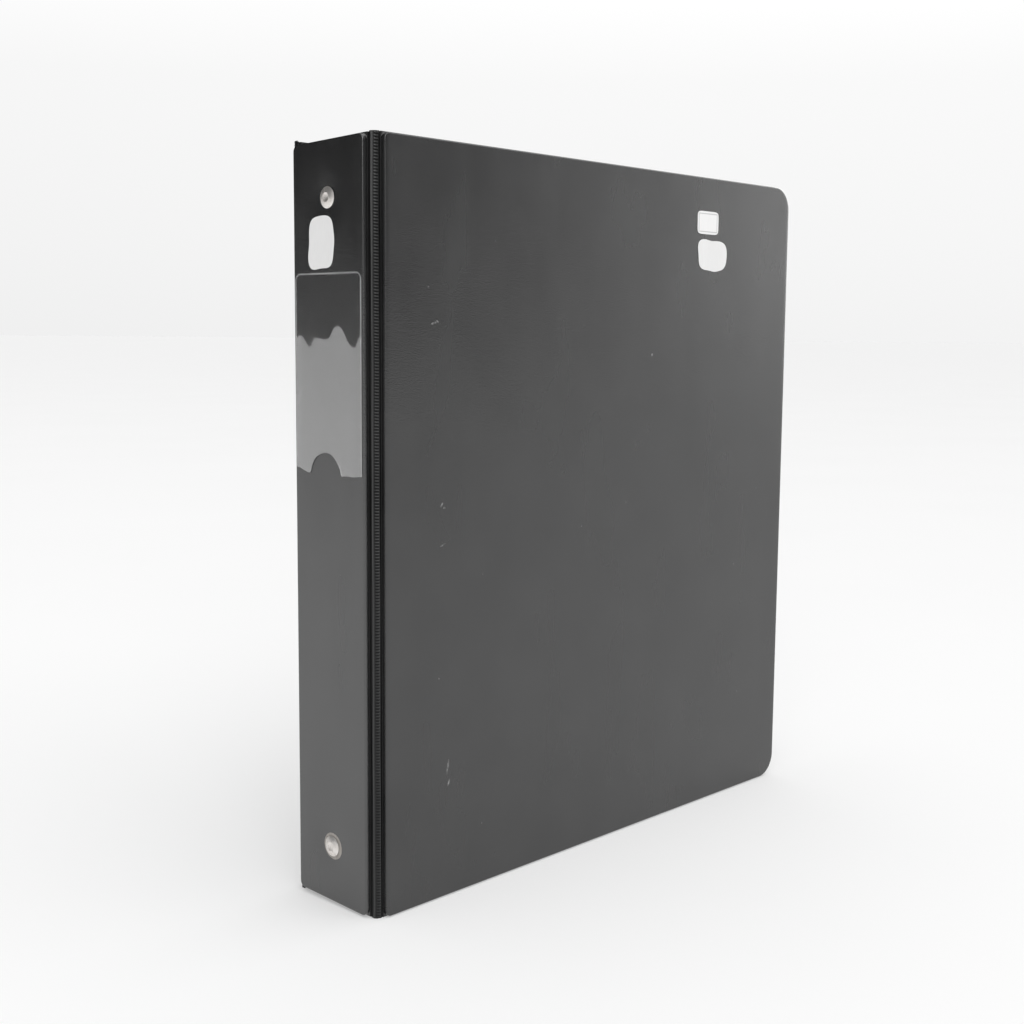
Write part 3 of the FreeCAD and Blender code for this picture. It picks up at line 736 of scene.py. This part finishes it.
def handling_group():
    """Marks of use: cloudy smears that run mostly upright, and sparse pale dust specks."""
    group, given, out = new_group(
        "handling", [("Speck Share", "Float", 0.5)], [("Smear", "Float"), ("Dust", "Float")])
    place = object_place(group)
    stretched = add_node(group, "Mapping", Vector=place, Scale=(1.0, 1.0, 0.28)).outputs[0]
    smear = noise(group, stretched, 46.0, 3.0, Distortion=0.6)
    specks = add_node(group, "TexVoronoi", {"feature": "F1"}, Vector=place, Scale=170.0)
    near = ranged(group, specks.outputs["Distance"], 0.03, 0.07, 1.0, 0.0)
    chosen = add_node(group, "SeparateColor", Color=specks.outputs["Color"]).outputs[0]
    rare = math_node(group, "LESS_THAN", chosen, given["Speck Share"])
    feed(group, out, Smear=smear, Dust=math_node(group, "MULTIPLY", near, rare))
    return group


def scuff_group():
    """One short rubbed mark: an ellipse round a centre, on a face across Y, broken up by noise."""
    group, given, out = new_group(
        "scuff", [("Centre", "Vector", (0, 0, 0)), ("Turn", "Float", 0.0), ("Length", "Float", 0.004),
                  ("Width", "Float", 0.0006)], [("Mask", "Float")])
    place = object_place(group)
    offset = add_node(group, "VectorMath", {"operation": "SUBTRACT"})
    connect(group, offset.inputs[0], place)
    connect(group, offset.inputs[1], given["Centre"])
    turned = add_node(group, "VectorRotate", {"rotation_type": "Y_AXIS"}, Vector=offset.outputs[0],
                      Angle=given["Turn"]).outputs[0]
    part = add_node(group, "SeparateXYZ", Vector=turned).outputs
    along = math_node(group, "DIVIDE", part["X"], given["Length"])
    across = math_node(group, "DIVIDE", part["Z"], given["Width"])
    squared = math_node(group, "ADD", math_node(group, "MULTIPLY", along, along),
                        math_node(group, "MULTIPLY", across, across))
    depth = ranged(group, math_node(group, "ABSOLUTE", part["Y"]), 0.0004, 0.0008, 1.0, 0.0)
    body = math_node(group, "MULTIPLY", ranged(group, squared, 0.3, 1.0, 1.0, 0.0, smooth=True), depth)
    broken = ranged(group, noise(group, place, 900.0, 1.0), 0.4, 0.62, 0.15, 1.0)
    feed(group, out, Mask=math_node(group, "MULTIPLY", body, broken))
    return group


def plating_group():
    """Bright plate: hair scratches both ways, a slow change of tone, and small dull spots."""
    group, given, out = new_group(
        "plating", [("Scratch Scale", "Float", 900.0)],
        [("Scratches", "Float"), ("Tone", "Float"), ("Spots", "Float")])
    place = object_place(group)
    total = None
    for stretch in ((1.0, 0.06, 1.0), (0.5, 1.0, 0.05)):
        thin = add_node(group, "Mapping", Vector=place, Scale=stretch,
                        Rotation=(0.3, 0.2, 0.5)).outputs[0]
        lines = noise(group, thin, given["Scratch Scale"], 2.0)
        total = lines if total is None else math_node(group, "ADD", total, lines)
    feed(group, out, Scratches=math_node(group, "MULTIPLY", total, 0.5),
         Tone=noise(group, place, 260.0, 3.0),
         Spots=ranged(group, noise(group, place, 1300.0, 2.0), 0.6, 0.7, 0.0, 1.0))
    return group


def fibre_group():
    """Matted fibres of paper or pulp board: stretched noise in three directions."""
    group, given, out = new_group("fibres", [("Scale", "Float", 1500.0)], [("Fibres", "Float")])
    place = object_place(group)
    total = None
    for turn in (0.2, 1.3, 2.4):
        laid = add_node(group, "Mapping", Vector=place, Scale=(1.0, 1.0, 0.15),
                        Rotation=(turn, turn, 0.0)).outputs[0]
        fibre = noise(group, laid, given["Scale"], 2.0)
        total = fibre if total is None else math_node(group, "MAXIMUM", total, fibre)
    feed(group, out, Fibres=total)
    return group


def new_material(name, **constants):
    """Material with a Principled shader; constants are set on the shader's own sockets."""
    material = bpy.data.materials.new(name)
    material.use_nodes = True
    tree = material.node_tree
    shader = tree.nodes["Principled BSDF"]
    feed(tree, shader.inputs, **constants)
    return material, tree, shader.inputs


def bump(tree, height, strength, distance):
    """Normal of a bump whose height is a pattern times a distance in metres."""
    return add_node(tree, "Bump", Height=height, Strength=strength, Distance=distance).outputs["Normal"]


# ---------------------------------------------------------------- materials
# places of the scuffs on the front cover: X and Z in millimetres, turn, half length, half width
SCUFFS = [
    (28.1, 212.2, 0.6, 1.1, 0.7), (-102.8, 224.4, 0.25, 1.7, 0.5), (-101.0, 225.0, -0.5, 0.9, 0.4),
    (-98.5, 155.9, 0.9, 1.3, 0.5), (-97.2, 154.6, 0.2, 0.8, 0.5), (-97.9, 140.5, 0.4, 1.6, 0.4),
    (-95.0, 52.6, 1.4, 3.4, 0.6), (-94.5, 46.2, 1.2, 1.8, 0.5)]


def black_tone(tree, grain, dark, light):
    """Black that wanders between two greys with the grain's slow mottle."""
    share = ranged(tree, grain["Mottle"], 0.35, 0.68, 0, 1)
    return mixed(tree, share, grey(dark, -0.02), grey(light, -0.01))


def hinge_material(groups):
    """Black vinyl whose gloss is a coat: full on the ridges and rungs, a painted highlight, and slight in
    the grooves, a painted shade.
    """
    material, tree, shader = new_material("hinge_vinyl_satin", Specular_IOR_Level=0.06, Coat_IOR=1.95,
                                          Coat_Roughness=0.28, Roughness=0.5)
    grain = use_group(tree, groups["grain"], Cells=2300.0)
    gloss_and_painted_light = add_node(tree, "Attribute", {"attribute_name": "gloss_and_painted_light"}).outputs["Fac"]
    # coat weight from the per-point gloss: painted shade in the grooves, painted highlight on the ridges
    # and rungs
    feed(tree, shader, Base_Color=black_tone(tree, grain, 0.006, 0.011),
         Coat_Weight=ranged(tree, gloss_and_painted_light, 0.0, 1.0, 0.10, 1.0),
         Normal=bump(tree, grain["Height"], 1.0, 0.00001))
    return material


def vinyl_material(name, groups, dark, light, roughness, depth, sheen, scuffed=False):
    """Black vinyl: embossed grain, mottled tone, smears in the gloss, and pale dust."""
    material, tree, shader = new_material(name, IOR=1.6, Specular_IOR_Level=sheen)
    grain = use_group(tree, groups["grain"], Cells=2300.0)
    use = use_group(tree, groups["handling"], Speck_Share=0.08)
    dust = math_node(tree, "MULTIPLY", use["Dust"], 0.35)
    colour = mixed(tree, dust, black_tone(tree, grain, dark, light), grey(0.30))
    rough = ranged(tree, use["Smear"], 0.3, 0.7, roughness - 0.035, roughness + 0.04)
    if scuffed:
        marks = 0.0
        for x, z, turn, length, width in SCUFFS:
            centre = (x * MM, -COVER_FACE * MM, z * MM)
            mark = use_group(tree, groups["scuff"], Centre=centre, Turn=turn,
                             Length=length * MM, Width=width * MM)["Mask"]
            marks = math_node(tree, "MAXIMUM", marks, mark)
        colour = mixed(tree, math_node(tree, "MULTIPLY", marks, 0.55), colour, grey(0.36))
        rough = math_node(tree, "MULTIPLY_ADD", marks, 0.2, rough)
    feed(tree, shader, Base_Color=colour, Roughness=rough, Normal=bump(tree, grain["Height"], 1.0, depth))
    return material


def film_material(groups):
    """Clear film: nearly colourless, a little hazy, and rougher along its welded seam, where it glows
    faintly: a painted highlight line.
    """
    material, tree, shader = new_material("clear_film_skin", IOR=1.6, Transmission_Weight=0.975,
                                          Specular_IOR_Level=0.95, Coat_Weight=1.0, Coat_IOR=1.65,
                                          Coat_Roughness=0.015, Emission_Strength=1.0)
    seam_and_painted_glow = add_node(tree, "Attribute", {"attribute_name": "seam_and_painted_glow"}).outputs["Fac"]
    use = use_group(tree, groups["handling"], Speck_Share=0.12)
    haze = ranged(tree, use["Smear"], 0.3, 0.75, 0.0, 1.0)
    rough = ranged(tree, use["Smear"], 0.35, 0.7, 0.01, 0.03)
    feed(tree, shader, Base_Color=mixed(tree, haze, grey(0.93), grey(0.99)),
         Roughness=math_node(tree, "MULTIPLY_ADD", seam_and_painted_glow, 0.25, rough),
         # painted highlight: emission along the welded seam makes the film glow there though no lamp
         # lights it
         Emission_Color=mixed(tree, seam_and_painted_glow, grey(0.0), grey(0.16)))
    return material


def nickel_material(name, groups, level, roughness):
    """Bright nickel plate with hair scratches and small dull spots."""
    material, tree, shader = new_material(name, Metallic=1.0)
    plate = use_group(tree, groups["plating"], Scratch_Scale=900.0)
    tone = ranged(tree, plate["Tone"], 0.35, 0.65, 0, 1)
    colour = mixed(tree, tone, grey(level * 0.9, 0.05), grey(level, 0.03))
    dull = math_node(tree, "MULTIPLY", plate["Spots"], 0.5)
    colour = mixed(tree, dull, colour, grey(level * 0.55, 0.08))
    rough = ranged(tree, plate["Scratches"], 0.4, 0.6, roughness, roughness + 0.12)
    feed(tree, shader, Base_Color=colour,
         Roughness=math_node(tree, "MULTIPLY_ADD", plate["Spots"], 0.2, rough),
         Normal=bump(tree, plate["Scratches"], 0.25, 0.00002))
    return material


FRAME_IN = 1.1      # edge of the small label to its printed frame


def paper_material(name, groups, level, framed=False):
    """Blank label paper with faint fibres and smudges, and on one label a thin printed frame."""
    material, tree, shader = new_material(name, Specular_IOR_Level=0.3)
    fibre = use_group(tree, groups["fibre"], Scale=1400.0)["Fibres"]
    use = use_group(tree, groups["handling"], Speck_Share=0.1)
    share = ranged(tree, fibre, 0.45, 0.75, 0, 1)
    colour = mixed(tree, share, grey(level * 0.97, 0.004), grey(level, 0.002))
    smudge = ranged(tree, use["Smear"], 0.5, 0.85, 0, 0.2)
    colour = mixed(tree, smudge, colour, grey(level * 0.8, 0.01))
    if framed:
        low, high = [np.array(c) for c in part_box("price_label")]
        centre, half = (low + high) / 2, (high - low) / 2
        part = add_node(tree, "SeparateXYZ", Vector=object_place(tree)).outputs
        inside = []
        for axis, letter in ((0, "X"), (2, "Z")):
            offset = math_node(tree, "SUBTRACT", part[letter], float(centre[axis]))
            far = math_node(tree, "ABSOLUTE", offset)
            inside.append(math_node(tree, "SUBTRACT", float(half[axis]), far))
        edge = math_node(tree, "MINIMUM", *inside)
        off = math_node(tree, "ABSOLUTE", math_node(tree, "SUBTRACT", edge, FRAME_IN * MM))
        line = ranged(tree, off, 0.0001, 0.0003, 0.55, 0.0)
        colour = mixed(tree, line, colour, grey(0.25, -0.03))
    feed(tree, shader, Base_Color=colour, Roughness=ranged(tree, fibre, 0.4, 0.7, 0.62, 0.78),
         Normal=bump(tree, fibre, 0.4, 0.00003))
    return material


def board_material(groups):
    """Grey pulp board."""
    material, tree, shader = new_material("greyboard_pulp")
    fibre = use_group(tree, groups["fibre"], Scale=700.0)["Fibres"]
    colour = mixed(tree, ranged(tree, fibre, 0.4, 0.75, 0, 1), grey(0.22, 0.08), grey(0.40, 0.07))
    feed(tree, shader, Base_Color=colour, Roughness=ranged(tree, fibre, 0.4, 0.7, 0.8, 0.95),
         Normal=bump(tree, fibre, 0.5, 0.0001))
    return material


def floor_material():
    """Pale, faintly glowing studio floor with a hardly visible unevenness."""
    material, tree, shader = new_material("studio_floor", Specular_IOR_Level=0.0,
                                          Emission_Color=grey(0.30), Emission_Strength=1.0)
    cloud = noise(tree, object_place(tree), 3.0, 2.0)
    feed(tree, shader, Base_Color=mixed(tree, cloud, grey(0.59), grey(0.61)),
         Roughness=ranged(tree, cloud, 0.3, 0.7, 0.8, 0.9))
    return material


def dress_nodes(materials):
    """Gives each CAD node that stays in view its material."""
    finishes = [("_board", "board"), ("inner_vinyl", "inner"), ("rivet", "rivet"),
                ("half_ring", "ring"), ("rail", "rail"), ("blade", "steel"), ("trigger", "steel")]
    for name, node in frame["nodes"].items():
        for part, finish in finishes:
            if part in name:
                node.data.materials.clear()
                node.data.materials.append(materials[finish])
                break


# ---------------------------------------------------------------- stage
CAMERA_PLACE = (-469.5, -417.4, 219.4)
CAMERA_AZIMUTH = 46.26      # degrees, as are the next two
CAMERA_DOWN = 6.98
CAMERA_ROLL = 0.46
CAMERA_LENS = 50.17
FLOOR_REACH = 150.0         # metres
FILL_PLACE = (-3.15, -3.25, 2.4)    # metres
FILL_TARGET = (0, 0, 0.15)
# position along the ramp, and level there
ROOM_BY_X = [(0.30, 0.035), (0.60, 0.04), (0.80, 0.04), (0.91, 1.0), (1.00, 5.2)]
BACKDROP_BY_Z = [(0.0, 0.883), (0.06, 0.908), (0.17, 0.94), (0.22, 1.0)]
ROOM_LIGHT = 0.29


def add_camera():
    """Camera that looks along an azimuth from +Y toward +X, tipped down and rolled a little."""
    azimuth, down, roll = [math.radians(v) for v in (CAMERA_AZIMUTH, CAMERA_DOWN, CAMERA_ROLL)]
    ahead = Vector((math.sin(azimuth) * math.cos(down), math.cos(azimuth) * math.cos(down),
                    -math.sin(down)))
    right = ahead.cross(Vector((0, 0, 1))).normalized()
    up = right.cross(ahead)
    tilted_right = right * math.cos(roll) + up * math.sin(roll)
    tilted_up = up * math.cos(roll) - right * math.sin(roll)
    turn = Matrix((tilted_right, tilted_up, -ahead)).transposed()
    camera = bpy.data.objects.new("camera", bpy.data.cameras.new("camera"))
    camera.data.sensor_width = 36.0
    camera.data.lens = CAMERA_LENS
    camera.data.clip_end = 1000.0
    camera.matrix_world = Matrix.Translation(Vector(CAMERA_PLACE) * MM) @ turn.to_4x4()
    bpy.context.scene.collection.objects.link(camera)
    bpy.context.scene.camera = camera


def add_floor():
    """Flat floor that reaches to the horizon."""
    side = np.array([-1.0, -0.02, 0.02, 1.0]) * FLOOR_REACH / MM
    x, y = np.meshgrid(side, side)
    points = np.stack([x, y, 0 * x], -1).reshape(-1, 3)
    quads = grid_quads(np.arange(16).reshape(4, 4))[:, ::-1]
    make_mesh("floor", points, quads, floor_material())


def facing(place, target):
    """Matrix of a light at a place, in metres, that shines at a target."""
    ahead = Vector(target) - Vector(place)
    return Matrix.Translation(place) @ ahead.to_track_quat("-Z", "Y").to_matrix().to_4x4()


def add_light(name, kind, energy):
    """New light in the scene."""
    light = bpy.data.objects.new(name, bpy.data.lights.new(name, kind))
    light.data.energy = energy
    bpy.context.scene.collection.objects.link(light)
    return light


def grey_ramp(tree, factor, stops):
    """Colour ramp through greys; stops are positions, lowest first, and their levels."""
    node = add_node(tree, "ValToRGB", Fac=factor)
    elements = node.color_ramp.elements
    elements[0].position, elements[0].color = stops[0][0], grey(stops[0][1])
    elements[1].position, elements[1].color = stops[-1][0], grey(stops[-1][1])
    for position, level in stops[1:-1]:
        elements.new(position).color = grey(level)
    return node.outputs[0]


def shader_switch(tree, factor, off, on):
    """One shader where the factor is 0 and another where it is 1."""
    node = add_node(tree, "MixShader")
    for socket, value in zip(node.inputs, (factor, off, on)):
        connect(tree, socket, value)
    return node.outputs[0]


def add_lights():
    """Very soft light from above, a wide panel behind the camera, and the room round them.

    The camera sees an even backdrop that brightens upward, gloss reflects a room
    that is dark but for its +X end, and every other ray gets one even grey.
    """
    sun = add_light("overhead", "SUN", 2.28)
    sun.data.angle = math.radians(100)
    sun.rotation_euler = (math.radians(14), math.radians(10), 0)

    fill = add_light("fill", "AREA", 102.0)
    fill.data.size = 3.6
    fill.matrix_world = facing(FILL_PLACE, FILL_TARGET)

    world = bpy.data.worlds.new("studio")
    world.use_nodes = True
    bpy.context.scene.world = world
    tree = world.node_tree
    tree.nodes.clear()
    direction = add_node(tree, "TexCoord").outputs["Generated"]
    part = add_node(tree, "SeparateXYZ", Vector=direction).outputs
    reflected = grey_ramp(tree, ranged(tree, part["X"], -1, 1, 0, 1), ROOM_BY_X)
    room = add_node(tree, "Background", Color=reflected, Strength=1.0).outputs[0]
    even = add_node(tree, "Background", Color=grey(ROOM_LIGHT), Strength=1.0).outputs[0]
    seen = grey_ramp(tree, part["Z"], BACKDROP_BY_Z)
    brighter = ranged(tree, part["X"], 0.45, 0.91, 0.985, 1.015)
    backdrop = add_node(tree, "Background", Color=seen, Strength=brighter).outputs[0]
    path = add_node(tree, "LightPath").outputs
    indoors = shader_switch(tree, path["Is Glossy Ray"], even, room)
    whole = shader_switch(tree, path["Is Camera Ray"], indoors, backdrop)
    add_node(tree, "OutputWorld", Surface=whole)
    bpy.context.scene.view_settings.view_transform = "Standard"


# ---------------------------------------------------------------- assembly
def build():
    """Makes every material and piece, the floor, the lights and the camera."""
    groups = {"grain": grain_group(), "handling": handling_group(), "scuff": scuff_group(),
              "plating": plating_group(), "fibre": fibre_group()}
    spine = vinyl_material("spine_vinyl_grain", groups, 0.009, 0.015, 0.24, 0.00004, 0.98)
    cover = vinyl_material("cover_vinyl_grain", groups, 0.009, 0.015, 0.25, 0.00004, 0.66, scuffed=True)
    hinge = hinge_material(groups)
    inner = vinyl_material("inner_vinyl_satin", groups, 0.012, 0.018, 0.36, 0.00002, 0.70)
    dress_nodes({"board": board_material(groups), "inner": inner,
                 "rivet": nickel_material("rivet_plate", groups, 0.86, 0.42),
                 "ring": nickel_material("ring_plate", groups, 0.74, 0.12),
                 "rail": nickel_material("rail_plate", groups, 0.72, 0.16),
                 "steel": nickel_material("lever_plate", groups, 0.68, 0.22)})
    add_skins(spine, cover)
    add_spine_lining(inner)
    add_hinges(hinge)
    add_label_pocket(film_material(groups))
    add_inner_pockets(inner)
    add_labels(paper_material("label_paper_blank", groups, 0.78),
               paper_material("label_paper_framed", groups, 0.84, framed=True))
    add_floor()
    add_lights()
    add_camera()


build()
